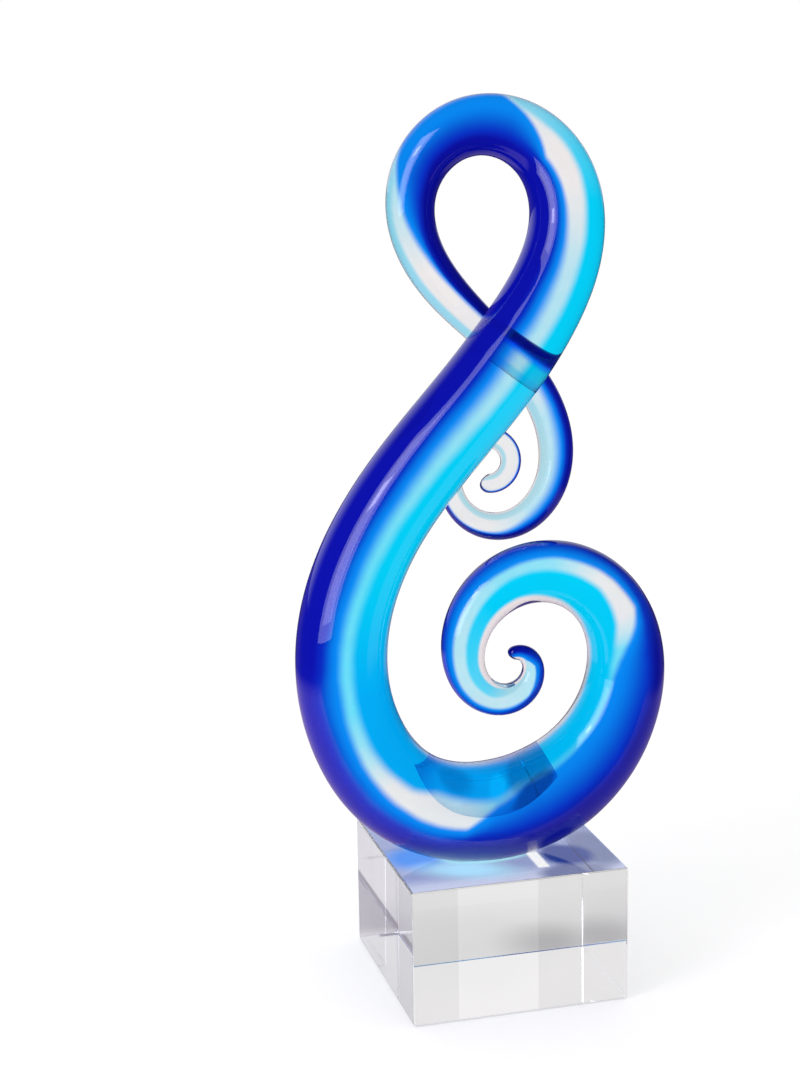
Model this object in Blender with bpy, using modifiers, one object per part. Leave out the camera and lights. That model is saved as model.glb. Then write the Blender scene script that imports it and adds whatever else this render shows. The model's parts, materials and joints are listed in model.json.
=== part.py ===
"""Glass treble clef on a clear crystal block, built as separate pieces in millimetres."""
import math

import bmesh
import bpy
import numpy as np
from mathutils import Vector

MM = 0.001
WALL_GAP = 0.3

# Crystal block
BLOCK_SIDE = 80.0
BLOCK_HEIGHT = 50.0
BLOCK_EDGE = 1.2
BLOCK_EDGE_STEPS = 2

# Bond between the block and the flat ground under the ring
FOOT_X = -4.9
FOOT_Y = -13.0
GROUND_DEPTH = 1.9
BOND_THICKNESS = 0.4
BOND_MARGIN = 2.0
BOND_SIDES = 40
FOOT_FLAT_HEIGHT = BLOCK_HEIGHT + WALL_GAP + BOND_THICKNESS + WALL_GAP
CUTTER_MARGIN = 10.0

# Height of the clef from its unground underside to its crown
CLEF_HEIGHT = 271.0

# Bend radius along the rod as drawn: arc length from the foot, then radius, clockwise negative
BENDS = (
    (-237, -5.1), (-230, -6.0), (-222, -9.6), (-212, -10.9), (-200, -14.9), (-180, -26.0),
    (-145, -29.5), (-110, -33.0), (-70, -52.5), (-30, -51.0), (0, -61.0), (30, -41.5),
    (60, -72.0), (95, -76.0), (140, -123.0), (190, 800.0), (235, 143.0), (280, 30.0),
    (318, 23.0), (348, 29.5), (382, 75.0), (420, -124.0), (460, -36.0), (495, -18.6),
    (527, -18.4), (555, -10.0), (580, -6.7),
)
SCROLL_TIP = BENDS[0][0]
TAIL_TIP = BENDS[-1][0]

# Rod thickness along the same arc length
THICKNESS = (
    (-237, 4.0), (-229, 6.8), (-213, 10.4), (-187, 14.4), (-152, 20.2), (-104, 25.4),
    (-66, 29.8), (-25, 35.6), (-5, 36.2), (40, 34.2), (68, 32.8), (140, 30.8),
    (215, 30.4), (245, 28.0), (277, 25.0), (311, 21.0), (353, 17.0), (386, 15.0),
    (404, 13.4), (460, 12.6), (484, 11.2), (518, 8.6), (574, 7.2), (580, 6.6),
)
THICKNESS_EASE = 10.0

# Share of the thickness that each colour takes, from its own side of the rod
COBALT_SHARE = (
    (-237, 0.5), (-222, 0.4), (-200, 0.3), (-145, 0.36), (-70, 0.53), (0, 0.5),
    (60, 0.46), (235, 0.46), (318, 0.55), (348, 0.58), (420, 0.42), (495, 0.34), (580, 0.3),
)
AQUA_SHARE = (
    (-188, 0.08), (-145, 0.33), (-70, 0.35), (60, 0.39), (190, 0.36), (235, 0.34),
    (280, 0.24), (348, 0.14), (382, 0.13), (425, 0.07),
)
AQUA_START = AQUA_SHARE[0][0]
AQUA_END = AQUA_SHARE[-1][0]

# The loop swings back so that the tail passes behind the stem
STEM_CROSSING = 216.0
TAIL_CROSSING = 406.0
SWING_START = 225.0
SWING_END = 375.0

# Fineness of the swept pieces
SAMPLE_STEP = 0.5
RING_SPACING = 0.55
RING_SPACING_MIN = 1.6
RING_SPACING_MAX = 7.5
OUTER_ARC_POINTS = 6
CORE_ARC_POINTS = 4
EDGE_ANGLE = math.radians(8.0)
SHARP_ANGLE = math.radians(40.0)
TIP_ROUND = 0.45
TIP_LEFT = 0.55

COBALT = (0.010, 0.020, 0.420)
CLEAR = (0.800, 0.900, 0.950)
AQUA = (0.020, 0.560, 0.860)
BOND = (0.700, 0.820, 0.900)
CRYSTAL = (0.860, 0.890, 0.900)


def profile(pairs, arc):
    """Value of a profile at an arc length, straight between its stations."""
    return np.interp(arc, [pair[0] for pair in pairs], [pair[1] for pair in pairs])


def running_sum(values, step):
    """Trapezoid integral of evenly spaced values, starting at zero."""
    return np.concatenate([[0.0], np.cumsum((values[1:] + values[:-1]) / 2) * step])


def thickness(arc):
    """Rod thickness, eased so that its taper has no kinks."""
    offsets = np.linspace(-THICKNESS_EASE / 2, THICKNESS_EASE / 2, 11)
    return np.mean([profile(THICKNESS, arc + offset) for offset in offsets], axis=0)


def tip_factor(arc):
    """How far the rod is drawn in at its two rounded tips."""
    end_run = TIP_ROUND * thickness(arc)
    from_end = np.minimum(arc - SCROLL_TIP, TAIL_TIP - arc)
    inside = np.clip(1.0 - from_end / end_run, 0.0, 1.0)
    return TIP_LEFT + (1.0 - TIP_LEFT) * np.sqrt(1.0 - inside ** 2)


def rod_radius(arc):
    """Radius of the round rod at an arc length."""
    return thickness(arc) / 2 * tip_factor(arc)


def foot_radius():
    """Radius of the rod at its foot."""
    return float(rod_radius(0.0))


def foot_centre_height():
    """Height of the rod's centre over its foot, with the flat ground to its depth."""
    return FOOT_FLAT_HEIGHT + foot_radius() - GROUND_DEPTH


def flat_size():
    """Length and width of the flat ground under the ring."""
    outer_bend = abs(float(profile(BENDS, 0.0))) + foot_radius()
    return tuple(
        2.0 * math.sqrt(GROUND_DEPTH * (2.0 * radius - GROUND_DEPTH))
        for radius in (outer_bend, foot_radius()))


def drawn_curve():
    """The rod's flat curve as drawn, from the foot: arc lengths, then distances right and up."""
    count = int(round((TAIL_TIP - SCROLL_TIP) / SAMPLE_STEP)) + 1
    arc = np.linspace(SCROLL_TIP, TAIL_TIP, count)
    stations = [pair[0] for pair in BENDS]
    curvature = np.interp(arc, stations, [1.0 / pair[1] for pair in BENDS])
    heading = running_sum(curvature, SAMPLE_STEP)
    heading += math.pi - np.interp(0.0, arc, heading)
    across = running_sum(np.cos(heading), SAMPLE_STEP)
    upward = running_sum(np.sin(heading), SAMPLE_STEP)
    across -= np.interp(0.0, arc, across)
    upward -= np.interp(0.0, arc, upward)
    return arc, across, upward


def curve_scale(arc, upward):
    """Factor from the drawn curve to the clef's real height."""
    crown = int(np.argmax(upward))
    wanted = CLEF_HEIGHT - foot_radius() - float(rod_radius(arc[crown]))
    return wanted / upward[crown]


def swing(arc):
    """How far the rod lies behind the ring, eased along the upper loop."""
    reach = rod_radius(STEM_CROSSING) + rod_radius(TAIL_CROSSING) + WALL_GAP
    part = np.clip((arc - SWING_START) / (SWING_END - SWING_START), 0.0, 1.0)
    return reach * part ** 2 * (3.0 - 2.0 * part)


def centreline():
    """Centreline of the rod from the foot at its real size, as drawn arc lengths and points."""
    arc, across, upward = drawn_curve()
    scale = curve_scale(arc, upward)
    return arc, np.column_stack([across * scale, swing(arc), upward * scale])


def ring_places(start, end):
    """Arc lengths of the rings between two places, closer where the rod is thin."""
    places = [start]
    while places[-1] < end:
        step = RING_SPACING * rod_radius(places[-1])
        places.append(places[-1] + min(max(step, RING_SPACING_MIN), RING_SPACING_MAX))
    scale = (end - start) / (places[-1] - start)
    return [start + (place - start) * scale for place in places]


def rod_frames(places):
    """Centre, side and depth directions of the rod at each place."""
    arc, points = centreline()
    slopes = np.gradient(points, SAMPLE_STEP, axis=0)
    frames = []
    for place in places:
        centre = Vector([np.interp(place, arc, points[:, axis]) for axis in range(3)])
        along = Vector([np.interp(place, arc, slopes[:, axis]) for axis in range(3)]).normalized()
        side = Vector((0.0, 1.0, 0.0)).cross(along).normalized() * -1.0
        depth = along.cross(side)
        frames.append((centre, side, depth))
    return frames


def section(radius, low, high, arc_points):
    """Outline of a slice of a round rod between two distances from its middle."""
    first = max(math.acos(min(high / radius, 1.0)), EDGE_ANGLE)
    last = min(math.acos(max(low / radius, -1.0)), math.pi - EDGE_ANGLE)
    turn = [first + (last - first) * step / (arc_points - 1) for step in range(arc_points)]
    upper = [(radius * math.cos(angle), radius * math.sin(angle)) for angle in turn]
    lower = [(across, -deep) for across, deep in reversed(upper)]
    return upper + lower


def add_quad(work, ring, following, index, after, falling):
    """Two triangles split the same way on both sides of a seam between strips."""
    corners = (ring[index], ring[after], following[after], following[index])
    if falling:
        work.faces.new((corners[0], corners[1], corners[2]))
        work.faces.new((corners[0], corners[2], corners[3]))
    else:
        work.faces.new((corners[0], corners[1], corners[3]))
        work.faces.new((corners[1], corners[2], corners[3]))


def strip_mesh(name, places, limits, arc_points):
    """Sweep a slice of the rod through its places, capped at both ends."""
    work = bmesh.new()
    rings = []
    for place, (centre, side, depth) in zip(places, rod_frames(places)):
        radius = float(rod_radius(place))
        low, high = limits(place, radius)
        outline = section(radius, low, high, arc_points)
        ring = []
        for across, deep in outline:
            ring.append(work.verts.new((centre + side * across + depth * deep) * MM))
        rings.append(ring)
    depths = [deep for across, deep in outline]
    for ring, following in zip(rings, rings[1:]):
        for index in range(len(ring)):
            after = (index + 1) % len(ring)
            add_quad(work, ring, following, index, after, depths[index] >= depths[after])
    work.faces.new(list(reversed(rings[0])))
    work.faces.new(rings[-1])
    return finish_mesh(name, work)


def finish_mesh(name, work):
    """Turn a working mesh into mesh data with smooth faces and marked sharp edges."""
    bmesh.ops.recalc_face_normals(work, faces=work.faces)
    for face in work.faces:
        face.smooth = True
    for edge in work.edges:
        edge.smooth = edge.calc_face_angle(0.0) < SHARP_ANGLE
    mesh = bpy.data.meshes.new(name)
    work.to_mesh(mesh)
    work.free()
    return mesh


def cobalt_limits(place, radius):
    """Cobalt lies on the left-hand side of the rod."""
    share = float(profile(COBALT_SHARE, place))
    return radius * (1.0 - 2.0 * share) + WALL_GAP / 2, radius


def aqua_limits(place, radius):
    """Aqua lies on the right-hand side of the rod."""
    share = float(profile(AQUA_SHARE, place))
    return -radius, -radius * (1.0 - 2.0 * share) - WALL_GAP / 2


def core_limits(place, radius):
    """The clear core fills what the two colours leave."""
    cobalt_edge = cobalt_limits(place, radius)[0] - WALL_GAP
    if AQUA_START <= place <= AQUA_END:
        return aqua_limits(place, radius)[1] + WALL_GAP, cobalt_edge
    return -radius, cobalt_edge


def material(name, colour, roughness):
    """Principled glass stand-in with its own colour."""
    made = bpy.data.materials.new(name)
    made.use_nodes = True
    shader = made.node_tree.nodes["Principled BSDF"]
    shader.inputs["Base Color"].default_value = (*colour, 1.0)
    shader.inputs["Roughness"].default_value = roughness
    shader.inputs["Metallic"].default_value = 0.0
    return made


def add_object(name, mesh, colour, roughness, place, home):
    """Put a mesh into the collection as a named piece with its material."""
    made = bpy.data.objects.new(name, mesh)
    made.location = Vector(place) * MM
    made.data.materials.append(material(name + "_glass", colour, roughness))
    home.objects.link(made)
    return made


def box_mesh(name, size):
    """Box mesh of the given size, centred on its own origin."""
    work = bmesh.new()
    bmesh.ops.create_cube(work, size=1.0)
    bmesh.ops.scale(work, vec=Vector(size) * MM, verts=work.verts)
    return finish_mesh(name, work)


def build_block(home):
    """Crystal block with polished edges."""
    mesh = box_mesh("crystal_block", (BLOCK_SIDE, BLOCK_SIDE, BLOCK_HEIGHT))
    block = add_object("crystal_block", mesh, CRYSTAL, 0.04, (0, 0, BLOCK_HEIGHT / 2), home)
    edge = block.modifiers.new("polished_edges", "BEVEL")
    edge.width = BLOCK_EDGE * MM
    edge.segments = BLOCK_EDGE_STEPS
    edge.limit_method = "ANGLE"
    return block


def build_bond(home):
    """Thin oval film of clear adhesive under the ground foot."""
    work = bmesh.new()
    bmesh.ops.create_cone(
        work, cap_ends=True, segments=BOND_SIDES, radius1=0.5, radius2=0.5, depth=1.0)
    length, width = (side - 2.0 * BOND_MARGIN for side in flat_size())
    size = Vector((length, width, BOND_THICKNESS)) * MM
    bmesh.ops.scale(work, vec=size, verts=work.verts)
    mesh = finish_mesh("bond_film", work)
    height = BLOCK_HEIGHT + WALL_GAP + BOND_THICKNESS / 2
    return add_object("bond_film", mesh, BOND, 0.1, (FOOT_X, FOOT_Y, height), home)


def grind_foot(strip, workshop):
    """Grind a flat under the ring, where it stands on the block."""
    length, width = (side + 2.0 * CUTTER_MARGIN for side in flat_size())
    size = (length, width, 2.0 * CUTTER_MARGIN)
    cutter = bpy.data.objects.new("foot_grinder", box_mesh("foot_grinder", size))
    cutter.location = Vector((FOOT_X, FOOT_Y, FOOT_FLAT_HEIGHT - CUTTER_MARGIN)) * MM
    cutter.hide_render = True
    cutter.display_type = "WIRE"
    workshop.objects.link(cutter)
    cut = strip.modifiers.new("ground_foot", "BOOLEAN")
    cut.operation = "DIFFERENCE"
    cut.solver = "EXACT"
    cut.object = cutter


def build_clef(home, workshop):
    """The three fused strips of the clef's rod, each a piece of its own."""
    foot = (FOOT_X, FOOT_Y, foot_centre_height())
    whole = ring_places(SCROLL_TIP, TAIL_TIP)
    aqua_places = [place for place in whole if AQUA_START <= place <= AQUA_END]
    cobalt_mesh = strip_mesh("cobalt_strip", whole, cobalt_limits, OUTER_ARC_POINTS)
    cobalt = add_object("cobalt_strip", cobalt_mesh, COBALT, 0.05, foot, home)
    grind_foot(cobalt, workshop)
    core_mesh = strip_mesh("clear_core", whole, core_limits, CORE_ARC_POINTS)
    add_object("clear_core", core_mesh, CLEAR, 0.05, foot, home)
    aqua_mesh = strip_mesh("aqua_strip", aqua_places, aqua_limits, OUTER_ARC_POINTS)
    add_object("aqua_strip", aqua_mesh, AQUA, 0.05, foot, home)


def main():
    """Clear the file and build every piece of the sculpture."""
    for leftover in list(bpy.data.objects):
        bpy.data.objects.remove(leftover)
    home = bpy.data.collections.new("glass_treble_clef")
    workshop = bpy.data.collections.new("cutters")
    for group in (home, workshop):
        bpy.context.scene.collection.children.link(group)
    build_block(home)
    build_bond(home)
    build_clef(home, workshop)


main()
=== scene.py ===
"""Looks of the glass treble clef on its crystal block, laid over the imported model."""
from __future__ import annotations

import json
import logging
import math
from dataclasses import dataclass, field, fields

import bmesh
import bpy
import numpy as np
from mathutils import Matrix, Vector

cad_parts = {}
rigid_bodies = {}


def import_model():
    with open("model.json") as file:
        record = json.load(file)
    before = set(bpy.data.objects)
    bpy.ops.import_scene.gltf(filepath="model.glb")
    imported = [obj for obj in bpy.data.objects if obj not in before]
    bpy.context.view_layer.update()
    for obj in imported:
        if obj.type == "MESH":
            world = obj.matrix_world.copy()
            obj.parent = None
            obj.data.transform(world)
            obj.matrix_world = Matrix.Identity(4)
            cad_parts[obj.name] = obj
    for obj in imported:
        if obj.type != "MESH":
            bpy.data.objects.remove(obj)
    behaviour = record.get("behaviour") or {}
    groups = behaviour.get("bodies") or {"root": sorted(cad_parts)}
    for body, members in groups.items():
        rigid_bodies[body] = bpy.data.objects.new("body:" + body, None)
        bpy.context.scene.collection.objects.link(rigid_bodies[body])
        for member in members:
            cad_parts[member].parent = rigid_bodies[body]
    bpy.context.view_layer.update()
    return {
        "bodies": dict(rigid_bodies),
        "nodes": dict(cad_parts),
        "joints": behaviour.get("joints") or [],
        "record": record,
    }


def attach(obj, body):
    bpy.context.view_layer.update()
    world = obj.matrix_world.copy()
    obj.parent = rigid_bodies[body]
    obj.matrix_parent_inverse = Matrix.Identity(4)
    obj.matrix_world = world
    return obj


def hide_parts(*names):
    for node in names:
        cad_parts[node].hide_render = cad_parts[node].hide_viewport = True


LOG = logging.getLogger("treble_clef")
MM = 0.001
WHITE = (1.0, 1.0, 1.0)
# The photograph's viewpoint in metres: the camera stands there and the rod's strips are laid out for it
VIEWPOINT = (-0.2167, -0.7016, 0.3342)

Pairs = tuple[tuple[float, float], ...]
Range = tuple[float, float]
Colour = tuple[float, float, float]
Settings = dict[str, object]
Inputs = dict[object, object]


def srgb(red: float, green: float, blue: float) -> Colour:
    """Linear colour of a screen colour, by the usual screen curve.

    Args:
        red: Red level from 0 to 255.
        green: Green level from 0 to 255.
        blue: Blue level from 0 to 255.

    Returns:
        The three levels from 0 to 1, as a shader takes them.
    """
    linear = []
    for level in (red, green, blue):
        part = level / 255.0
        linear.append(part / 12.92 if part <= 0.04045 else ((part + 0.055) / 1.055) ** 2.4)
    return linear[0], linear[1], linear[2]


def profile(pairs: Pairs, place: float) -> float:
    """Value of a profile at a place, straight between its stations."""
    return float(np.interp(place, [pair[0] for pair in pairs], [pair[1] for pair in pairs]))


class Value:
    """A number or colour socket of a node tree, usable in Python expressions."""

    def __init__(self, tree: Tree, socket: bpy.types.NodeSocket) -> None:
        """Wrap a socket of a tree."""
        self.tree = tree
        self.socket = socket

    def _math(self, operation: str, *values: object) -> Value:
        """Add a Math node.

        Args:
            operation: The node's operation.
            values: Its inputs, as numbers or wrapped sockets.

        Returns:
            The node's result, wrapped.
        """
        return self.tree.add("ShaderNodeMath", {"operation": operation}, dict(enumerate(values)))

    def __add__(self, other: object) -> Value:
        """Sum."""
        return self._math("ADD", self, other)

    __radd__ = __add__

    def __sub__(self, other: object) -> Value:
        """Difference."""
        return self._math("SUBTRACT", self, other)

    def __rsub__(self, other: object) -> Value:
        """Difference the other way round."""
        return self._math("SUBTRACT", other, self)

    def __mul__(self, other: object) -> Value:
        """Product."""
        return self._math("MULTIPLY", self, other)

    __rmul__ = __mul__

    def smaller(self, other: object) -> Value:
        """The smaller of two numbers."""
        return self._math("MINIMUM", self, other)

    def larger(self, other: object) -> Value:
        """The larger of two numbers."""
        return self._math("MAXIMUM", self, other)

    def step(self, start: object, end: object) -> Value:
        """Smooth step from 0 at start to 1 at end."""
        inputs = {"Value": self, "From Min": start, "From Max": end}
        return self.tree.add("ShaderNodeMapRange", {"interpolation_type": "SMOOTHSTEP"}, inputs)

    def length(self, other: Value) -> Value:
        """Length of the arrow that has the two numbers as its sides."""
        return self._math("SQRT", self * self + other * other)

    def size(self) -> Value:
        """The number without its sign."""
        return self._math("ABSOLUTE", self)

    def band(self, start: float, end: float, soft: float) -> Value:
        """1 between start and end, with soft sides."""
        return self.step(start - soft, start + soft) * (1.0 - self.step(end - soft, end + soft))


class Tree:
    """A node tree, whose nodes all come from one method."""

    def __init__(self, tree: bpy.types.NodeTree) -> None:
        """Start from an empty tree."""
        self.tree = tree
        tree.nodes.clear()

    def make(self, kind: str, settings: Settings, inputs: Inputs) -> bpy.types.Node:
        """Add a node.

        Args:
            kind: The node's type name.
            settings: Attributes, which are set first.
            inputs: Values, wrapped sockets or sockets by input name or index.

        Returns:
            The node.
        """
        node = self.tree.nodes.new(kind)
        for name, setting in settings.items():
            setattr(node, name, setting)
        for name, entry in inputs.items():
            if isinstance(entry, Value):
                self.tree.links.new(entry.socket, node.inputs[name])
            elif isinstance(entry, bpy.types.NodeSocket):
                self.tree.links.new(entry, node.inputs[name])
            else:
                node.inputs[name].default_value = entry
        return node

    def add(self, kind: str, settings: Settings, inputs: Inputs, output: object = 0) -> Value:
        """Add a node and wrap one of its outputs."""
        return Value(self, self.make(kind, settings, inputs).outputs[output])

    def mix(self, factor: object, first: object, second: object, blend: str = "MIX") -> Value:
        """Mix two colours.

        Args:
            factor: Share of the second colour, as a number or a wrapped socket.
            first: One colour, as a wrapped socket or a linear triple.
            second: The other colour, given likewise.
            blend: The node's way of blending.

        Returns:
            The mixed colour.
        """
        inputs: Inputs = {0: factor}
        # Counted from 0, the node's colours are its inputs 6 and 7 and its output 2
        for index, entry in ((6, first), (7, second)):
            inputs[index] = entry if isinstance(entry, Value) else (*entry, 1.0)
        return self.add("ShaderNodeMix", {"data_type": "RGBA", "blend_type": blend}, inputs, 2)

    def read(self, name: str) -> Value:
        """Number attribute of the mesh."""
        return self.add("ShaderNodeAttribute", {"attribute_name": name}, {}, "Fac")

    def place(self) -> bpy.types.NodeSocket:
        """Object coordinates, in metres."""
        return self.make("ShaderNodeTexCoord", {}, {}).outputs["Object"]

    def parts(self, vector: bpy.types.NodeSocket) -> tuple[Value, Value, Value]:
        """The three numbers of a vector."""
        split = self.make("ShaderNodeSeparateXYZ", {}, {0: vector}).outputs
        return Value(self, split[0]), Value(self, split[1]), Value(self, split[2])

    def rays(self) -> tuple[Value, Value, Value]:
        """Sort the rays that meet the surface.

        Returns:
            1 for a ray straight from the camera, for a glossy one, and for one that went through glass.
        """
        path = self.make("ShaderNodeLightPath", {}, {}).outputs
        through = Value(self, path["Is Transmission Ray"])
        glossy = Value(self, path["Is Glossy Ray"]) * (1.0 - through)
        return Value(self, path["Is Camera Ray"]), glossy, through

    def polished(self, colour: Value, roughness: float, ior: float, clear: float = 1.0) -> bpy.types.Node:
        """Add the shader of a polished glass.

        Args:
            colour: Its colour.
            roughness: Its roughness.
            ior: Its index of refraction.
            clear: 1 for glass that light goes through, 0 for dense glass.

        Returns:
            The shader's node.
        """
        inputs = {"Base Color": colour, "Roughness": roughness, "IOR": ior, "Transmission Weight": clear}
        return self.make("ShaderNodeBsdfPrincipled", {}, inputs)

    def blend(self, factor: Value, first: bpy.types.Node, second: bpy.types.Node) -> bpy.types.Node:
        """Add the mix of two shaders."""
        return self.make("ShaderNodeMixShader", {}, {0: factor, 1: first.outputs[0], 2: second.outputs[0]})

    def finish(self, shader: bpy.types.Node) -> None:
        """Show a shader on the surface."""
        self.make("ShaderNodeOutputMaterial", {}, {"Surface": shader.outputs[0]})


def new_material(name: str) -> tuple[bpy.types.Material, Tree]:
    """Start a node material.

    Args:
        name: The material's name.

    Returns:
        The material and its empty tree.
    """
    material = bpy.data.materials.new(name)
    material.use_nodes = True
    return material, Tree(material.node_tree)


def as_object(work: bmesh.types.BMesh, name: str, material: bpy.types.Material) -> bpy.types.Object:
    """Turn a finished bmesh into a smooth-shaded scene object.

    Args:
        work: The bmesh, which is freed.
        name: The piece's name.
        material: Its material.

    Returns:
        The new object.
    """
    for face in work.faces:
        face.smooth = True
    mesh = bpy.data.meshes.new(name)
    work.to_mesh(mesh)
    work.free()
    mesh.materials.append(material)
    piece = bpy.data.objects.new(name, mesh)
    bpy.context.scene.collection.objects.link(piece)
    return piece


@dataclass(frozen=True)
class RodCourse:
    """Course of the drawn glass rod, in millimetres.

    The first number of each pair is the arc length from the foot, below 0 towards the scroll and above
    0 towards the tail. The second is the thickness of the rod there, or the radius of its bend, which is
    below 0 where the rod turns one way and above 0 where it turns the other.
    """

    foot: tuple[float, float, float] = (-4.9, -13.0, 67.09)
    clef_height: float = 271.0
    sample_step: float = 0.5
    bends: Pairs = (
        (-237, -5.1), (-230, -6.0), (-222, -9.6), (-212, -10.9), (-200, -14.9), (-180, -26.0),
        (-145, -29.5), (-110, -33.0), (-70, -52.5), (-30, -51.0), (0, -61.0), (30, -41.5),
        (60, -72.0), (95, -76.0), (140, -123.0), (190, 800.0), (235, 143.0), (280, 30.0),
        (318, 23.0), (348, 29.5), (382, 75.0), (420, -124.0), (460, -36.0), (495, -18.6),
        (527, -18.4), (555, -10.0), (580, -6.7),
    )
    thickness: Pairs = (
        (-237, 4.0), (-229, 6.8), (-213, 10.4), (-187, 14.4), (-152, 20.2), (-104, 25.4),
        (-66, 29.8), (-25, 35.6), (-5, 36.2), (40, 34.2), (68, 32.8), (140, 30.8),
        (215, 30.4), (245, 28.0), (277, 25.0), (311, 21.0), (353, 17.0), (386, 15.0),
        (404, 13.4), (460, 12.6), (484, 11.2), (518, 8.6), (574, 7.2), (580, 6.6),
    )
    thickness_ease: float = 10.0
    ease_samples: int = 11
    rear_reach: float = 22.05
    swing_start: float = 225.0
    swing_end: float = 375.0
    tip_round: float = 0.45
    tip_left: float = 0.04

    @property
    def start(self) -> float:
        """Arc length of the scroll's tip."""
        return self.bends[0][0]

    @property
    def end(self) -> float:
        """Arc length of the tail's tip."""
        return self.bends[-1][0]

    def radius(self, arc: float) -> float:
        """Radius of the rod at an arc length, before its tips are rounded."""
        offsets = np.linspace(-self.thickness_ease / 2, self.thickness_ease / 2, self.ease_samples)
        return float(np.mean([profile(self.thickness, arc + offset) for offset in offsets])) / 2

    def rounded_radius(self, arc: float) -> float:
        """Radius of the rod with its tips rounded off.

        Args:
            arc: Arc length from the foot.

        Returns:
            The radius there.
        """
        radius = self.radius(arc)
        from_end = min(arc - self.start, self.end - arc)
        inside = min(max(1.0 - from_end / (2.0 * self.tip_round * radius), 0.0), 1.0)
        return radius * max(math.sqrt(1.0 - inside ** 2), self.tip_left)

    def centre_line(self) -> tuple[np.ndarray, np.ndarray]:
        """Bend the rod's centre line, lift it to the clef's height and swing the loop to the rear.

        Returns:
            Arc lengths of its samples, and their places from the foot.
        """
        count = int(round((self.end - self.start) / self.sample_step)) + 1
        arc = np.linspace(self.start, self.end, count)
        curvatures = [1.0 / bend for _, bend in self.bends]
        heading = self._running_sum(np.interp(arc, [place for place, _ in self.bends], curvatures))
        heading += math.pi - np.interp(0.0, arc, heading)
        points = np.zeros((count, 3))
        for axis, slope in ((0, np.cos(heading)), (2, np.sin(heading))):
            points[:, axis] = self._running_sum(slope)
            points[:, axis] -= np.interp(0.0, arc, points[:, axis])
        crown = int(np.argmax(points[:, 2]))
        points *= (self.clef_height - self.radius(0.0) - self.radius(arc[crown])) / points[crown, 2]
        part = np.clip((arc - self.swing_start) / (self.swing_end - self.swing_start), 0.0, 1.0)
        points[:, 1] = self.rear_reach * part ** 2 * (3.0 - 2.0 * part)
        return arc, points

    def frames(self, places: list[float]) -> list[Matrix]:
        """Frame of the rod at each place, in metres.

        Args:
            places: Arc lengths in millimetres.

        Returns:
            Matrices whose first two axes span the rod's section and whose third is its run, scaled to
            the rod's radius.
        """
        arc, points = self.centre_line()
        slopes = np.gradient(points, self.sample_step, axis=0)
        points += np.array(self.foot)
        found = []
        for place in places:
            centre = Vector([np.interp(place, arc, points[:, axis]) for axis in range(3)]) * MM
            along = Vector([np.interp(place, arc, slopes[:, axis]) for axis in range(3)]).normalized()
            side = along.cross(Vector((0.0, 1.0, 0.0))).normalized()
            turn = Matrix((side, along.cross(side), along)).transposed().to_4x4()
            size = Matrix.Scale(self.rounded_radius(place) * MM, 4)
            found.append(Matrix.Translation(centre) @ turn @ size)
        return found

    def _running_sum(self, values: np.ndarray) -> np.ndarray:
        """Trapezoid integral of the samples, starting at zero."""
        return np.concatenate([[0.0], np.cumsum((values[1:] + values[:-1]) / 2) * self.sample_step])


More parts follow.
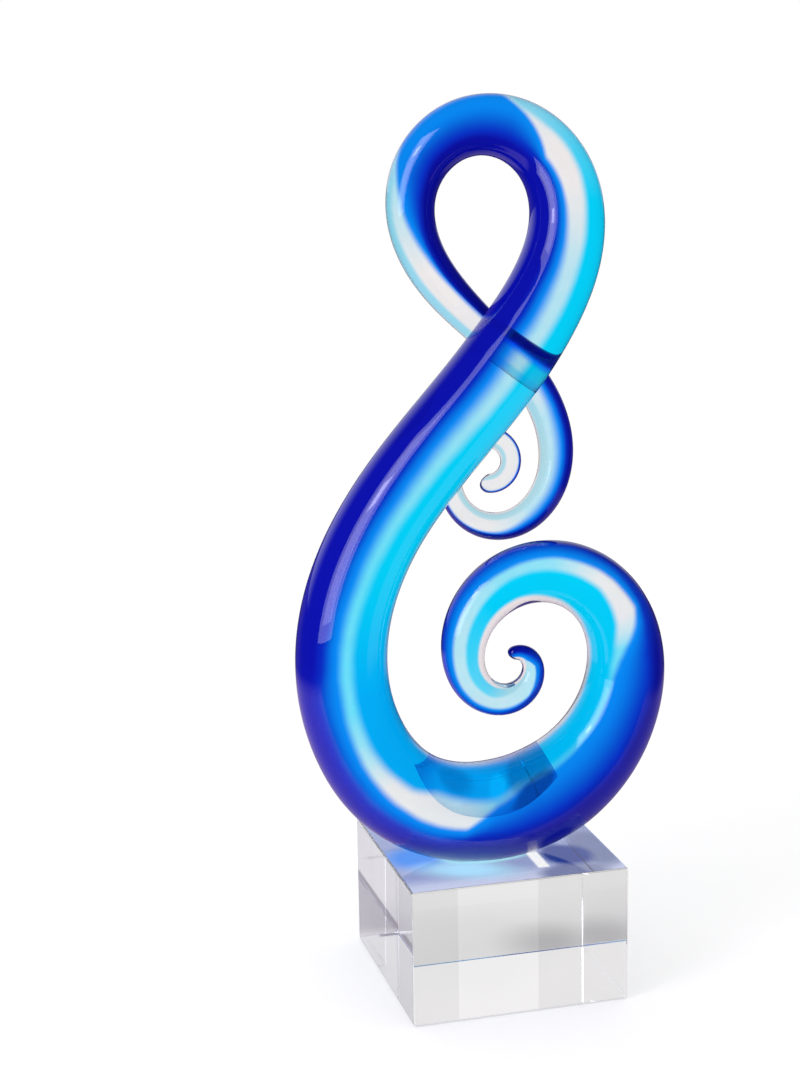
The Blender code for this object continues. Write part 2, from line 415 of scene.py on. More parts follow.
@dataclass(frozen=True)
class RodBands:
    """Where the rod's glasses meet and how strong each one is.

    The first number of each pair is the arc length from the foot in millimetres. The second is a share
    across the rod, 0 on the cobalt side and 1 on the aqua side, for where a glass starts or ends and how
    far it blends, and a strength from 0 to 1 for a depth, a whiteness, a blueness or the painted light
    on the cobalt near the foot.
    """

    azure_start: Pairs = (
        (-237, 0.50), (-232, 0.45), (-226, 0.06), (-215, 0.18), (-205, 0.06), (-196, 0.03), (-150, 0.03),
        (-130, 0.03), (-115, 0.06), (-100, 0.12), (-88, 0.17), (-78, 0.16), (-62, 0.20), (-30, 0.24),
        (5, 0.22), (20, 0.17), (80, 0.20), (92, 0.27), (105, 0.31), (140, 0.34), (190, 0.33), (220, 0.34),
        (285, 0.36), (335, 0.36), (345, 0.31), (355, 0.28), (380, 0.30), (400, 0.27), (440, 0.17),
        (500, 0.18), (530, 0.10), (580, 0.05),
    )
    core_start: Pairs = (
        (-237, 0.90), (-230, 0.75), (-226, 0.42), (-215, 0.24), (-205, 0.22), (-195, 0.22), (-180, 0.29),
        (-165, 0.31), (-150, 0.335), (-135, 0.30), (-120, 0.26), (-104, 0.23), (-98, 0.34), (-92, 0.50),
        (-87, 0.59), (-80, 0.65), (-70, 0.66), (-14, 0.66), (0, 0.54), (5, 0.46), (12, 0.33), (20, 0.34),
        (40, 0.39), (60, 0.435), (80, 0.475), (100, 0.51), (120, 0.54), (140, 0.555), (200, 0.56),
        (230, 0.55), (260, 0.515), (288, 0.49), (295, 0.64), (305, 0.91), (310, 1.05), (334, 1.05),
        (340, 0.94), (350, 0.715), (360, 0.56), (370, 0.45), (385, 0.37), (400, 0.33), (430, 0.42),
        (450, 0.48), (480, 0.48), (490, 0.44), (500, 0.30), (512, 0.21), (530, 0.16), (580, 0.12),
    )
    core_blend: Pairs = (
        (-237, 0.05), (-200, 0.06), (-165, 0.06), (-135, 0.05), (-105, 0.045), (-95, 0.07), (-60, 0.04),
        (0, 0.05), (15, 0.035), (45, 0.05), (75, 0.06), (105, 0.07), (160, 0.09), (215, 0.10), (245, 0.07),
        (275, 0.04), (300, 0.05), (345, 0.07), (365, 0.09), (385, 0.06), (420, 0.10), (450, 0.18),
        (485, 0.17), (505, 0.06), (580, 0.05),
    )
    aqua_start: Pairs = (
        (-237, 0.95), (-200, 0.54), (-180, 0.57), (-165, 0.56), (-150, 0.50), (-130, 0.485), (-118, 0.47),
        (-103, 0.54), (-95, 0.62), (-85, 0.69), (-70, 0.67), (-10, 0.67), (0, 0.58), (10, 0.59),
        (28, 0.655), (38, 0.59), (60, 0.575), (80, 0.60), (120, 0.66), (160, 0.70), (200, 0.725),
        (230, 0.735), (250, 0.73), (265, 0.735), (275, 0.765), (285, 0.80), (295, 0.80), (303, 0.86),
        (308, 1.02), (337, 1.06), (345, 0.90), (360, 0.84), (370, 0.80), (400, 0.76), (440, 0.74),
        (530, 0.72),
    )
    aqua_end: Pairs = (
        (-200, 0.84), (-180, 0.85), (-165, 0.85), (-150, 0.85), (-135, 0.91), (-120, 0.955), (-100, 0.97),
        (-30, 0.96), (0, 0.96), (35, 0.985), (60, 1.02), (300, 1.02), (360, 0.99), (440, 0.96),
        (530, 0.93),
    )
    aqua_depth: Pairs = (
        (-230, 0.15), (-208, 0.22), (-197, 0.75), (-180, 0.9), (-160, 1.0), (270, 1.0), (285, 0.85),
        (300, 0.5), (340, 0.45), (380, 0.4), (430, 0.3), (457, 0.1),
    )
    aqua_blue: Pairs = (
        (-130, 0.0), (-100, 0.1), (-60, 0.35), (-30, 0.5), (20, 0.9), (80, 0.8), (115, 0.15), (130, 0.0),
    )
    core_white: Pairs = (
        (-220, 0.45), (-205, 0.56), (-180, 0.5), (-165, 0.42), (-150, 0.2), (-135, 0.25), (-127, 0.6),
        (-119, 0.95), (-104, 0.95), (-98, 0.6), (-92, 0.1), (-84, 0.05), (-60, 0.15), (-30, 0.05),
        (0, 0.4), (6, 0.65), (12, 0.9), (45, 0.95), (55, 0.55), (64, 0.25), (76, 0.06), (120, 0.02),
        (150, 0.1), (180, 0.22), (200, 0.38), (230, 0.45), (248, 0.5), (262, 0.8), (275, 1.0),
        (290, 1.0), (305, 0.8), (345, 0.4), (365, 0.8), (375, 1.0), (425, 0.95), (445, 0.5),
        (485, 0.5), (503, 0.95),
    )
    cobalt_depth: Pairs = (
        (-237, 1.0), (-231, 0.95), (-226, 0.3), (-216, 0.5), (-205, 0.15), (-180, 0.12), (-165, 0.3),
        (-150, 0.12), (-135, 0.3), (-120, 0.35), (-105, 0.55), (-95, 0.9), (-86, 1.0), (500, 1.0),
        (520, 0.7), (545, 0.35), (580, 0.3),
    )
    # Painted light: how far the cobalt is made lighter near the foot, for the light it takes in from the
    # block below
    cobalt_lift: Pairs = ((-40, 0.0), (-10, 0.2), (10, 0.5), (35, 1.0), (72, 1.0), (86, 0.3), (94, 0.0))

    def names(self) -> tuple[str, ...]:
        """Names of the profiles, which are the mesh attributes' names too."""
        return tuple(item.name for item in fields(self))


@dataclass(frozen=True)
class RodGlass:
    """Finish of the fused rod: cobalt, azure, clear core and aqua, side by side."""

    # The cobalt side, with a lighter painted copy near the foot for the light that enters it from below,
    # and a painted violet reflection along its rim
    cobalt: Colour = srgb(7, 12, 144)
    lifted_cobalt: Colour = srgb(12, 17, 152)
    thin_cobalt: Colour = srgb(16, 78, 206)
    cobalt_body: float = 0.8
    cobalt_soft: float = 0.09
    violet: Colour = srgb(44, 38, 150)
    violet_width: float = 0.08
    # The blue between the cobalt and the core
    ultramarine: Colour = srgb(6, 50, 200)
    azure: Colour = srgb(6, 142, 250)
    azure_reach: float = 0.85
    azure_lead: float = 0.6
    # The clear core, faintly mottled
    core_cyan: Colour = srgb(100, 229, 255)
    core_white: Colour = srgb(244, 240, 240)
    mottle: float = 0.16
    mottle_scale: float = 260.0
    # The aqua side, and the clear edge beyond it
    aqua: Colour = srgb(0, 214, 255)
    blue_aqua: Colour = srgb(0, 169, 253)
    thin_aqua: Colour = srgb(190, 226, 234)
    aqua_soft: float = 0.06
    edge: Colour = srgb(246, 236, 236)
    edge_soft: float = 0.04
    # How the limits between the glasses wander
    wander: float = 0.025
    wander_scale: float = 55.0
    # The glass itself
    back_window: Range = (0.90, 0.975)
    ior: float = 1.5
    roughness: float = 0.015

    def make(self) -> bpy.types.Material:
        """Dress the rod: clear glass with its bands of colour, made denser on the cobalt side.

        A face of clear glass gives light only the square root of its colour. So the colour is squared,
        and the middle of the rod's back is a clear window, through which light isn't coloured twice.

        Returns:
            The node material.
        """
        material, tree = new_material("fused_rod_glass")
        place = tree.place()
        wander = tree.add("ShaderNodeTexNoise", {}, {"Vector": place, "Scale": self.wander_scale})
        across = tree.read("across") + (wander - 0.5) * (2.0 * self.wander)
        colour = self._bands(tree, across, place)
        squared = tree.mix(1.0, colour, colour, "MULTIPLY")
        window = (0.0 - tree.read("front")).step(*self.back_window)
        clear = tree.polished(tree.mix(window, squared, WHITE), self.roughness, self.ior)
        dense = tree.polished(colour, self.roughness, self.ior, 0.0)
        limit = tree.read("azure_start")
        share = (1.0 - across.step(limit - self.cobalt_soft, limit + self.cobalt_soft)) * self.cobalt_body
        tree.finish(tree.blend(share, clear, dense))
        return material

    def _bands(self, tree: Tree, across: Value, place: bpy.types.NodeSocket) -> Value:
        """Colours across the rod, each band between its own limits.

        Args:
            tree: The material's tree.
            across: Place across the rod, 0 on the cobalt side and 1 on the aqua side.
            place: Object coordinates, for the mottled core.

        Returns:
            The seen colour of the glass.
        """
        azure_start = tree.read("azure_start")
        core_start = tree.read("core_start")
        # Painted light: a lighter copy of the cobalt near the foot
        cobalt = tree.mix(tree.read("cobalt_lift"), self.cobalt, self.lifted_cobalt)
        cobalt = tree.mix(tree.read("cobalt_depth"), self.thin_cobalt, cobalt)
        # Painted reflection: a lighter violet along the cobalt rim
        cobalt = tree.mix(across.step(0.0, self.violet_width), self.violet, cobalt)
        core_blend = tree.read("core_blend")
        full_azure = (core_start - core_blend * self.azure_lead).smaller(self.azure_reach)
        azure = tree.mix(across.step(azure_start, full_azure), self.ultramarine, self.azure)
        core = tree.mix(tree.read("core_white"), self.core_cyan, self.core_white)
        clouds = tree.add("ShaderNodeTexNoise", {}, {"Vector": place, "Scale": self.mottle_scale}, "Color")
        core = tree.mix(self.mottle, core, clouds, "OVERLAY")
        aqua = tree.mix(tree.read("aqua_blue"), self.aqua, self.blue_aqua)
        aqua = tree.mix(tree.read("aqua_depth"), self.thin_aqua, aqua)
        colour = self._join(tree, across, azure_start, self.cobalt_soft, cobalt, azure)
        colour = self._join(tree, across, core_start, core_blend, colour, core)
        colour = self._join(tree, across, tree.read("aqua_start"), self.aqua_soft, colour, aqua)
        return self._join(tree, across, tree.read("aqua_end"), self.edge_soft, colour, self.edge)

    def _join(self, tree: Tree, across: Value, limit: Value, soft: object, near: Value,
              far: object) -> Value:
        """Colour that goes from one glass to the next at a limit across the rod."""
        return tree.mix(across.step(limit - soft, limit + soft), near, far)


@dataclass
class ClefRod:
    """The clef's fused glass rod as one fine round sweep, in millimetres.

    Its rings stand a share of the radius apart, within two limits, and its foot is cut at the height
    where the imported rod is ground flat.
    """

    course: RodCourse = field(default_factory=RodCourse)
    bands: RodBands = field(default_factory=RodBands)
    glass: RodGlass = field(default_factory=RodGlass)
    around: int = 48
    spacing: float = 0.10
    spacing_min: float = 0.3
    spacing_max: float = 1.2
    seam_gap: float = 0.0005
    flat_height: float = 51.0

    def places(self) -> list[float]:
        """Space the rings along the rod, closer where it is thin.

        Returns:
            Arc lengths in millimetres, from tip to tip.
        """
        found = [self.course.start]
        while found[-1] < self.course.end:
            step = self.spacing * self.course.rounded_radius(found[-1])
            found.append(found[-1] + min(max(step, self.spacing_min), self.spacing_max))
        found[-1] = self.course.end
        return found

    def build(self) -> bpy.types.Object:
        """Roll a grid round the course, grind its foot and dress it.

        Returns:
            The rod as one object.
        """
        places = self.places()
        work = bmesh.new()
        for name in ("across", "front", *self.bands.names()):
            work.verts.layers.float.new(name)
        bmesh.ops.create_grid(work, x_segments=len(places) - 1, y_segments=self.around, size=1.0)
        rings: list[list[bmesh.types.BMVert]] = [[] for _ in places]
        # The grid's x gives each vertex its ring, and its y the turn round the rod
        for vert in work.verts:
            rings[round((vert.co.x + 1.0) / 2.0 * (len(places) - 1))].append(vert)
        for ring, place, frame in zip(rings, places, self.course.frames(places)):
            for vert in ring:
                turn = vert.co.y * math.pi
                vert.co = frame @ Vector((math.cos(turn), math.sin(turn), 0.0))
            self._mark(work, ring, place, frame)
        bmesh.ops.remove_doubles(work, verts=work.verts, dist=self.seam_gap * MM)
        bmesh.ops.holes_fill(work, edges=[edge for edge in work.edges if edge.is_boundary], sides=0)
        self._grind_foot(work)
        bmesh.ops.recalc_face_normals(work, faces=work.faces)
        piece = as_object(work, "clef_rod", self.glass.make())
        LOG.info("clef_rod: %d rings, %d faces", len(places), len(piece.data.polygons))
        return piece

    def _mark(self, work: bmesh.types.BMesh, ring: list[bmesh.types.BMVert], place: float,
              frame: Matrix) -> None:
        """Write each vertex's place across the rod, how far it faces the front, and the ring's bands.

        Across and front are laid out once, for the photograph's viewpoint, and stay on the mesh.

        Args:
            work: The bmesh with the number layers.
            ring: The ring's vertices.
            place: Its arc length in millimetres.
            frame: Its frame on the course.
        """
        layers = work.verts.layers.float
        centre = frame.translation
        along = frame.col[2].xyz.normalized()
        facing = Vector(VIEWPOINT) - centre
        facing = (facing - along * facing.dot(along)).normalized()
        side = facing.cross(along)
        limits = {name: profile(getattr(self.bands, name), place) for name in self.bands.names()}
        for vert in ring:
            outward = (vert.co - centre).normalized()
            vert[layers["across"]] = (1.0 - outward.dot(side)) / 2.0
            vert[layers["front"]] = outward.dot(facing)
            for name, limit in limits.items():
                vert[layers[name]] = limit

    def _grind_foot(self, work: bmesh.types.BMesh) -> None:
        """Cut the foot flat at its height over the floor and close the cut.

        Args:
            work: The rod's bmesh.
        """
        everything = [*work.verts, *work.edges, *work.faces]
        cut = bmesh.ops.bisect_plane(
            work, geom=everything, plane_co=(0.0, 0.0, self.flat_height * MM),
            plane_no=(0.0, 0.0, -1.0), clear_outer=True)["geom_cut"]
        outline = [item for item in cut if isinstance(item, bmesh.types.BMEdge)]
        bmesh.ops.contextual_create(work, geom=outline)
        for edge in outline:
            edge.smooth = False


@dataclass(frozen=True)
class LightPatch:
    """Soft oval of painted coloured light, or of painted shade where its colour is darker, on the block's
    top face, in metres.
    """

    colour: Colour
    centre: tuple[float, float]
    reach: tuple[float, float]
    turn: float = 0.0
    core: float = 0.3

    def share(self, side: Value, depth: Value) -> Value:
        """How much of the patch a point of the top face shows.

        Args:
            side: Place from left to right, in metres.
            depth: Place from front to back, in metres.

        Returns:
            1 in the oval's core, falling to 0 at its rim.
        """
        right, back = side - self.centre[0], depth - self.centre[1]
        cosine, sine = math.cos(self.turn), math.sin(self.turn)
        along = right * (cosine / self.reach[0]) + back * (sine / self.reach[0])
        across = back * (cosine / self.reach[1]) - right * (sine / self.reach[1])
        return 1.0 - along.length(across).step(self.core, 1.0)


@dataclass(frozen=True)
class CrystalGlass:
    """Clear polished crystal whose top face holds the clef's painted blue light and shade, with its places
    in metres.
    """

    # The clear body, faintly clouded, with painted light in a band down the front face and painted shade
    # beside it, and on the left face a painted darker strip at the front and a lighter greenish tint
    # against the lamp's violet reflection
    tint: Colour = srgb(223, 222, 222)
    light_tint: Colour = srgb(251, 250, 250)
    light_share: float = 0.39
    cloud_share: float = 0.3
    cloud_scale: float = 25.0
    cloud_detail: float = 2.0
    band: Range = (-0.0234, 0.0062)
    band_share: float = 0.78
    band_soft: float = 0.0003
    left_tint: Colour = srgb(242, 250, 243)
    strip_tint: Colour = srgb(209, 217, 210)
    side_strip: Range = (-0.0180, -0.0172)
    # Where the front and left faces end and the top face begins, just inside the block
    face_skin: Range = (-0.0399, -0.0398)
    top_skin: Range = (0.04993, 0.04995)
    # Painted light and shade that the clef throws on the top face
    lilac: Colour = srgb(152, 164, 206)
    front_lilac: Colour = srgb(200, 206, 230)
    front_fade: Range = (-0.038, -0.025)
    patches: tuple[LightPatch, ...] = (
        # In the back half, which shows through the foot
        LightPatch(srgb(180, 220, 236), (-0.0060, 0.0240), (0.0350, 0.0290), core=0.35),
        LightPatch(srgb(130, 184, 206), (-0.0150, 0.0195), (0.0150, 0.0100), core=0.45),
        # Painted shade: the two slate ovals at the back right
        LightPatch(srgb(112, 160, 192), (0.0280, 0.0190), (0.0150, 0.0142), core=0.75),
        LightPatch(srgb(84, 120, 160), (0.0276, 0.0338), (0.0130, 0.0095), core=0.7),
        LightPatch(srgb(196, 240, 250), (0.0092, 0.0205), (0.0052, 0.0072), core=0.5),
        # In the front half, beside and below the foot
        LightPatch(srgb(16, 134, 236), (-0.0300, -0.0080), (0.0160, 0.0160)),
        LightPatch(srgb(180, 232, 255), (-0.0150, -0.0245), (0.0260, 0.0125),
                   turn=math.radians(-20.0), core=0.15),
        LightPatch(srgb(176, 240, 252), (-0.0049, -0.0130), (0.0200, 0.0090), core=0.6),
        # Painted shade: the grey and dark blue ovals right of the foot
        LightPatch(srgb(116, 126, 164), (0.0350, -0.0180), (0.0120, 0.0240), core=0.5),
        LightPatch(srgb(126, 134, 170), (0.0210, -0.0370), (0.0160, 0.0095), core=0.55),
        LightPatch(srgb(30, 58, 140), (0.0207, -0.0200), (0.0082, 0.0132), core=0.5),
        LightPatch(srgb(30, 58, 140), (0.0255, -0.0220), (0.0090, 0.0118), core=0.5),
    )
    # The white streak of painted light on the top face
    streak_side: float = 0.0117
    streak_half: float = 0.0014
    streak_reach: Range = (-0.0305, -0.0152)
    streak_soft: float = 0.001
    ior: float = 1.52
    roughness: float = 0.0

    def make(self) -> bpy.types.Material:
        """Dress the block: clear glass all through, with painted light and shade on its front and left
        faces, and the clef's painted light and shade on its top face.

        Returns:
            The node material.
        """
        material, tree = new_material("crystal_glass")
        place = tree.place()
        side, depth, height = tree.parts(place)
        body = self._body(tree, place, side, depth)
        cast = self._cast(tree, side, depth)
        squared = tree.mix(1.0, cast, cast, "MULTIPLY")
        colour = tree.mix(height.step(*self.top_skin), body, squared)
        tree.finish(tree.polished(colour, self.roughness, self.ior))
        return material

    def _body(self, tree: Tree, place: bpy.types.NodeSocket, side: Value, depth: Value) -> Value:
        """Colour of the clear glass, faintly clouded, with painted light and shade on its front and left
        faces.

        Args:
            tree: The material's tree.
            place: Object coordinates, for faint clouds.
            side: Place from left to right, in metres.
            depth: Place from front to back, in metres.

        Returns:
            The glass's colour, with its painted light and shade.
        """
        noise = {"Vector": place, "Scale": self.cloud_scale, "Detail": self.cloud_detail}
        cloud = tree.add("ShaderNodeTexNoise", {}, noise)
        front = 1.0 - depth.step(*self.face_skin)
        left = 1.0 - side.step(*self.face_skin)
        # Painted light in a band down the front face, with painted shade on the rest of that face
        band = side.band(*self.band, self.band_soft)
        light = cloud * self.cloud_share + front * (band - 0.5) * self.band_share + self.light_share
        colour = tree.mix(light, self.tint, self.light_tint)
        # Painted shade: a darker strip on the front part of the left face; the rest of that face gets a
        # lighter greenish tint against the lamp's violet reflection
        left_colour = tree.mix(depth.step(*self.side_strip), self.strip_tint, self.left_tint)
        return tree.mix(left, colour, left_colour)

    def _cast(self, tree: Tree, side: Value, depth: Value) -> Value:
        """Painted light and shade that the clef throws on the top face.

        Args:
            tree: The material's tree.
            side: Place from left to right, in metres.
            depth: Place from front to back, in metres.

        Returns:
            The seen colour of the top face.
        """
        colour = tree.mix(depth.step(*self.front_fade), self.front_lilac, self.lilac)
        for patch in self.patches:
            colour = tree.mix(patch.share(side, depth), colour, patch.colour)
        # Painted highlight: a white streak across the top face
        streak = 1.0 - (side - self.streak_side).size().step(self.streak_half, 2.0 * self.streak_half)
        streak = streak * depth.band(*self.streak_reach, self.streak_soft)
        return tree.mix(streak, colour, WHITE)


@dataclass(frozen=True)
class BondResin:
    """Cured clear adhesive under the ground foot."""

    tint: Colour = srgb(232, 243, 252)
    cloud_scale: float = 300.0
    roughness: float = 0.02
    ior: float = 1.05

    def make(self) -> bpy.types.Material:
        """Dress the film: a clear resin, faintly uneven.

        Returns:
            The node material.
        """
        material, tree = new_material("bond_resin")
        cloud = tree.add("ShaderNodeTexNoise", {}, {"Vector": tree.place(), "Scale": self.cloud_scale})
        tree.finish(tree.polished(tree.mix(cloud, self.tint, WHITE), self.roughness, self.ior))
        return material


@dataclass
class CrystalBase:
    """The clear block, in millimetres, and the film that bonds the clef's foot to it."""

    side: float = 80.0
    height: float = 50.0
    edge: float = 0.6
    edge_segments: int = 3
    glass: CrystalGlass = field(default_factory=CrystalGlass)
    resin: BondResin = field(default_factory=BondResin)

    def build_block(self) -> bpy.types.Object:
        """Shape and dress the block, with flat faces and narrow rounded edges.

        Returns:
            The block as one object.
        """
        work = bmesh.new()
        bmesh.ops.create_cube(work, size=1.0)
        bmesh.ops.scale(work, vec=(self.side * MM, self.side * MM, self.height * MM), verts=work.verts)
        bmesh.ops.translate(work, vec=(0.0, 0.0, self.height * MM / 2), verts=work.verts)
        bmesh.ops.bevel(
            work, geom=list(work.edges), offset=self.edge * MM, offset_type="OFFSET",
            segments=self.edge_segments, profile=0.5, affect="EDGES", material=-1)
        piece = as_object(work, "crystal_block_body", self.glass.make())
        # Only the narrow rounded edges are shaded smooth
        for face in piece.data.polygons:
            face.use_smooth = face.area < self.side * self.edge * MM ** 2
        LOG.info("crystal_block_body: %d faces", len(piece.data.polygons))
        return piece

    def dress_film(self, film: bpy.types.Object) -> None:
        """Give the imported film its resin.

        Args:
            film: The film's own object, whose shape stays as it is.
        """
        film.data.materials.clear()
        film.data.materials.append(self.resin.make())
        LOG.info("%s: %d faces", film.name, len(film.data.polygons))


@dataclass(frozen=True)
class Studio:
    """Camera at the photograph's angle, floor, world and lamps, in metres."""

    # Camera, with its sensor and lens in millimetres
    yaw: float = math.radians(14.79)
    pitch: float = math.radians(13.12)
    roll: float = math.radians(-1.01)
    sensor: float = 36.0
    lens: float = 94.95
    # Three nested softboxes to the left of the camera
    lamp_bearing: float = math.radians(61.0)
    lamp_distance: float = 0.55
    lamp_size: tuple[float, float] = (0.30, 0.62)
    lamp_height: float = 0.40
    lamp_radiance: float = 2.8
    core_size: tuple[float, float] = (0.17, 0.52)
    core_radiance: float = 2.6
    heart_size: tuple[float, float] = (0.08, 0.08)
    heart_height: float = 0.48
    heart_radiance: float = 8.0
    lamp_gap: float = 0.01
    lamp_colour: Colour = (0.80, 0.78, 1.0)
    # World in gloss and through the glass, placed by the parts of a ray's direction
    glossy_backdrop: Range = (0.50, 0.90)
    backdrop_in_gloss: Colour = (0.70, 0.70, 0.80)
    seen_backdrop: Range = (-0.75, -0.2)
    room: Colour = (0.03, 0.03, 0.035)
    far_room: Colour = (0.70, 0.70, 0.72)
    dim_wall: Colour = (0.38, 0.38, 0.39)
    wall_rise: Range = (0.30, 0.36)
    wall_side: float = 0.22
    wall_half: Range = (0.10, 0.20)
    ceiling: Range = (0.396, 0.403)
    # Floor as it is seen, and as gloss shows it
    floor_size: float = 40.0
    floor_drop: float = 0.0005
    floor_colour: Colour = srgb(252, 252, 252)
    floor_lift: float = 0.5
    lift_reach: Range = (0.10, 0.60)
    floor_in_gloss: Colour = (0.49, 0.38, 0.55)
    floor_reach: Range = (0.34, 0.48)
    dim_side: Range = (-0.05, 0.10)
    dim_share: float = 0.4
    dark_side: Range = (0.25, 0.42)
    dark_front: float = 0.04
    front_slopes: tuple[float, float] = (0.25, 0.75)
    front_soft: float = 0.04
    # Floor as the glass shows it, with painted light under the block, painted shade close by, a painted
    # shadow behind it and a painted dark line of shade along its right side
    under_floor: Colour = (1.3, 1.3, 1.3)
    near_floor: Colour = srgb(232, 232, 233)
    middle_floor: Colour = srgb(250, 250, 250)
    near_reach: Range = (0.05, 0.11)
    middle_reach: Range = (0.12, 0.30)
    front_light: Range = (-0.005, 0.025)
    shadow: Colour = srgb(196, 196, 198)
    shadow_place: tuple[float, float] = (0.029, 0.0465)
    shadow_reach: Range = (0.002, 0.027)
    contact: Range = (0.0403, 0.0422)
    contact_shade: Colour = srgb(110, 110, 114)
    contact_soft: float = 0.0005
    block_half: float = 0.040
    # Enough bounces for the block's inner reflections
    bounces: int = 40

    def build(self) -> None:
        """Set up everything round the object."""
        cycles = bpy.context.scene.cycles
        cycles.max_bounces = cycles.glossy_bounces = cycles.transmission_bounces = self.bounces
        self._camera()
        self._floor()
        self._world()
        softboxes = (
            ("left_softbox", self.lamp_height, self.lamp_size, self.lamp_radiance),
            ("softbox_core", self.lamp_height, self.core_size, self.core_radiance),
            ("softbox_heart", self.heart_height, self.heart_size, self.heart_radiance),
        )
        for order, (name, height, size, radiance) in enumerate(softboxes):
            self._lamp(name, self.lamp_distance - order * self.lamp_gap, height, size, radiance)

    def _camera(self) -> None:
        """Camera that matches the photograph's perspective."""
        data = bpy.data.cameras.new("photo_camera")
        data.sensor_fit = "HORIZONTAL"
        data.sensor_width = self.sensor
        data.lens = self.lens
        level = math.cos(self.pitch)
        forward = Vector((math.sin(self.yaw) * level, math.cos(self.yaw) * level, -math.sin(self.pitch)))
        right = Vector((math.cos(self.yaw), -math.sin(self.yaw), 0.0))
        up = right.cross(forward)
        turn = Matrix((right, up, -forward)).transposed().to_4x4() @ Matrix.Rotation(self.roll, 4, "Z")
        camera = bpy.data.objects.new("photo_camera", data)
        camera.matrix_world = Matrix.Translation(VIEWPOINT) @ turn
        bpy.context.scene.collection.objects.link(camera)
        bpy.context.scene.camera = camera

    def _floor(self) -> None:
        """Plain pale floor just under the block."""
        work = bmesh.new()
        bmesh.ops.create_grid(work, x_segments=1, y_segments=1, size=self.floor_size / 2)
        bmesh.ops.translate(work, vec=(0.0, 0.0, -self.floor_drop), verts=work.verts)
        material = self._floor_material()
        as_object(work, "floor", material)

    def _floor_material(self) -> bpy.types.Material:
        """Dress the floor: near white as it is seen, with the object's shadow on it, and painted light and
        shade where the glass shows it.

        Returns:
            The node material.
        """
        material, tree = new_material("pale_floor")
        place = tree.place()
        distance = tree.add("ShaderNodeVectorMath", {"operation": "LENGTH"}, {0: place}, "Value")
        side, depth, _ = tree.parts(place)
        seen, glossy, through = tree.rays()
        gloss = self._glossy_floor(tree, side, depth, distance)
        lit = tree.make("ShaderNodeBsdfDiffuse", {}, {"Color": tree.mix(glossy, self.floor_colour, gloss)})
        glow = tree.mix(through, WHITE, self._refracted_floor(tree, side, depth, distance))
        lifted = tree.make("ShaderNodeEmission", {}, {"Color": glow, "Strength": 1.0})
        lift = self.floor_lift + distance.step(*self.lift_reach) * (1.0 - self.floor_lift)
        tree.finish(tree.blend(seen * lift + through, lit, lifted))
        return material

    def _glossy_floor(self, tree: Tree, side: Value, depth: Value, distance: Value) -> Value:
        """Floor as gloss shows it: painted dim and lilac, and darker still towards the dark room far off,
        to the right and ahead.

        Args:
            tree: The floor's tree.
            side: Place from left to right, in metres.
            depth: Place from front to back, in metres.
            distance: Distance from the block's centre.

        Returns:
            The floor's colour.
        """
        lost = distance.step(*self.floor_reach).larger(side.step(*self.dark_side))
        lost = lost.larger(side.step(*self.dim_side) * self.dim_share)
        ahead = 0.0 - depth - self.dark_front
        ahead = (ahead + side * self.front_slopes[0]).smaller(ahead - side * self.front_slopes[1])
        lost = lost.larger(ahead.step(0.0, self.front_soft))
        return tree.mix(lost, self.floor_in_gloss, self.room)

    def _refracted_floor(self, tree: Tree, side: Value, depth: Value, distance: Value) -> Value:
        """Floor as the glass shows it.

        It is painted bright under the block and greyer close by, with a painted shadow behind the block
        and a painted dark line of shade along its right side.

        Args:
            tree: The floor's tree.
            side: Place from left to right, in metres.
            depth: Place from front to back, in metres.
            distance: Distance from the block's centre.

        Returns:
            The floor's colour.
        """
        # Painted shade close by the block, lighter further out and in front
        light = distance.step(*self.near_reach).larger(1.0 - depth.step(*self.front_light))
        colour = tree.mix(light, self.near_floor, self.middle_floor)
        colour = tree.mix(distance.step(*self.middle_reach), colour, WHITE)
        # Painted shadow behind the block
        from_shadow = (side - self.shadow_place[0]).length(depth - self.shadow_place[1])
        colour = tree.mix(from_shadow.step(*self.shadow_reach), self.shadow, colour)
        # Painted shade: a dark line along the block's right side
        rim = (self.block_half, self.block_half + self.contact_soft)
        contact = side.band(*self.contact, self.contact_soft) * (1.0 - depth.size().step(*rim))
        colour = tree.mix(contact, colour, self.contact_shade)
        # Painted light: brighter than white under the block
        outside = side.size().larger(depth.size()).step(*rim)
        return tree.mix(outside, self.under_floor, colour)

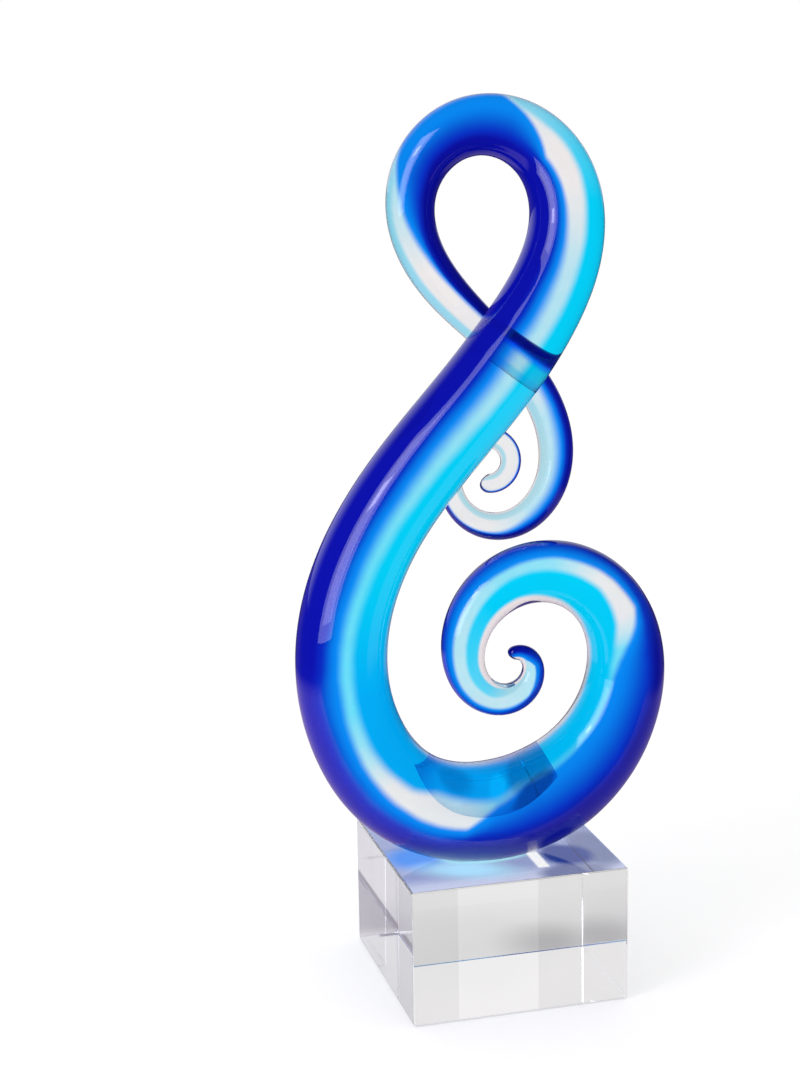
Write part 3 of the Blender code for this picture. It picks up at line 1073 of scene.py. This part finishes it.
    def _world(self) -> None:
        """White surroundings behind the object, darker on the camera's side."""
        world = bpy.data.worlds.new("studio")
        world.use_nodes = True
        bpy.context.scene.world = world
        tree = Tree(world.node_tree)
        direction = tree.make("ShaderNodeTexCoord", {}, {}).outputs["Generated"]
        right, backward, height = tree.parts(direction)
        _, glossy, through = tree.rays()
        backdrop = tree.mix(backward.step(*self.glossy_backdrop), self.room, self.backdrop_in_gloss)
        colour = tree.mix(glossy, WHITE, backdrop)
        dim = height.step(*self.wall_rise) * (1.0 - (right - self.wall_side).size().step(*self.wall_half))
        wall = tree.mix(dim, self.far_room, self.dim_wall)
        behind = tree.mix(height.step(*self.ceiling), wall, WHITE)
        colour = tree.mix(through * (1.0 - backward.step(*self.seen_backdrop)), colour, behind)
        light = tree.make("ShaderNodeBackground", {}, {"Color": colour, "Strength": 1.0})
        tree.make("ShaderNodeOutputWorld", {}, {"Surface": light.outputs[0]})

    def _lamp(self, name: str, distance: float, height: float, size: tuple[float, float],
              radiance: float) -> None:
        """Softbox that faces the object.

        Args:
            name: The lamp's name.
            distance: How far it stands from the object.
            height: Height of its centre.
            size: Its width and height.
            radiance: How bright its face is, where 1 is white.
        """
        data = bpy.data.lights.new(name, "AREA")
        data.shape = "RECTANGLE"
        data.size, data.size_y = size
        data.energy = radiance * size[0] * size[1] * math.pi
        data.color = self.lamp_colour
        lamp = bpy.data.objects.new(name, data)
        outward = Vector((-math.sin(self.lamp_bearing), -math.cos(self.lamp_bearing), 0.0))
        place = outward * distance + Vector((0.0, 0.0, height))
        turn = outward.to_track_quat("Z", "Y").to_matrix().to_4x4()
        lamp.matrix_world = Matrix.Translation(place) @ turn
        bpy.context.scene.collection.objects.link(lamp)


def main() -> None:
    """Build the studio and every piece, in order."""
    logging.basicConfig(level=logging.INFO, format="%(name)s: %(message)s")
    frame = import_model()
    bpy.context.scene.view_settings.view_transform = "Standard"
    Studio().build()
    rod = ClefRod().build()
    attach(rod, "root")
    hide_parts("cobalt_strip", "clear_core", "aqua_strip")
    base = CrystalBase()
    block = base.build_block()
    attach(block, "root")
    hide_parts("crystal_block")
    base.dress_film(frame["nodes"]["bond_film"])


if __name__ == "__main__":
    main()
